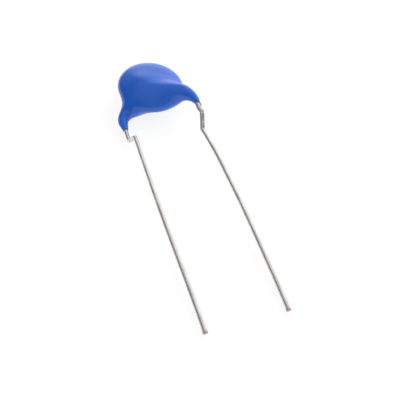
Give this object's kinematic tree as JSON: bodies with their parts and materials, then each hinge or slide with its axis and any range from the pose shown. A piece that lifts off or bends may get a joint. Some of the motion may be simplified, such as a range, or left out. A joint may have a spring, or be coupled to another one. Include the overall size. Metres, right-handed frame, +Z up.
{
  "type": "ceramic disc capacitor",
  "caption": "Round ceramic disc capacitor dipped in glossy blue epoxy, with two kinked tinned wire leads that leave the coating as tapering legs.",
  "frame": {"origin": "middle of the part's bounding box, on the surface that it lies on", "axes": "+Y along the leads, from their tips to the disc; +X from the lead on the back face to the lead on the front face; +Z up, out of the disc's front face"},
  "size_m": [0.012, 0.043, 0.0055],
  "materials": {
    "epoxy": "glossy, thick dipped skin",
    "tinned_wire": "dull tinned",
    "ceramic": "sintered, matt",
    "silver": "fired film, matt",
    "solder": "satin"
  },
  "bodies": {
    "root": {"coating": "epoxy", "ceramic_disc": "ceramic", "electrode_front": "silver", "electrode_back": "silver", "lead_left": "tinned_wire", "lead_right": "tinned_wire", "solder_left": "solder", "solder_right": "solder"}
  },
  "joints": []
}
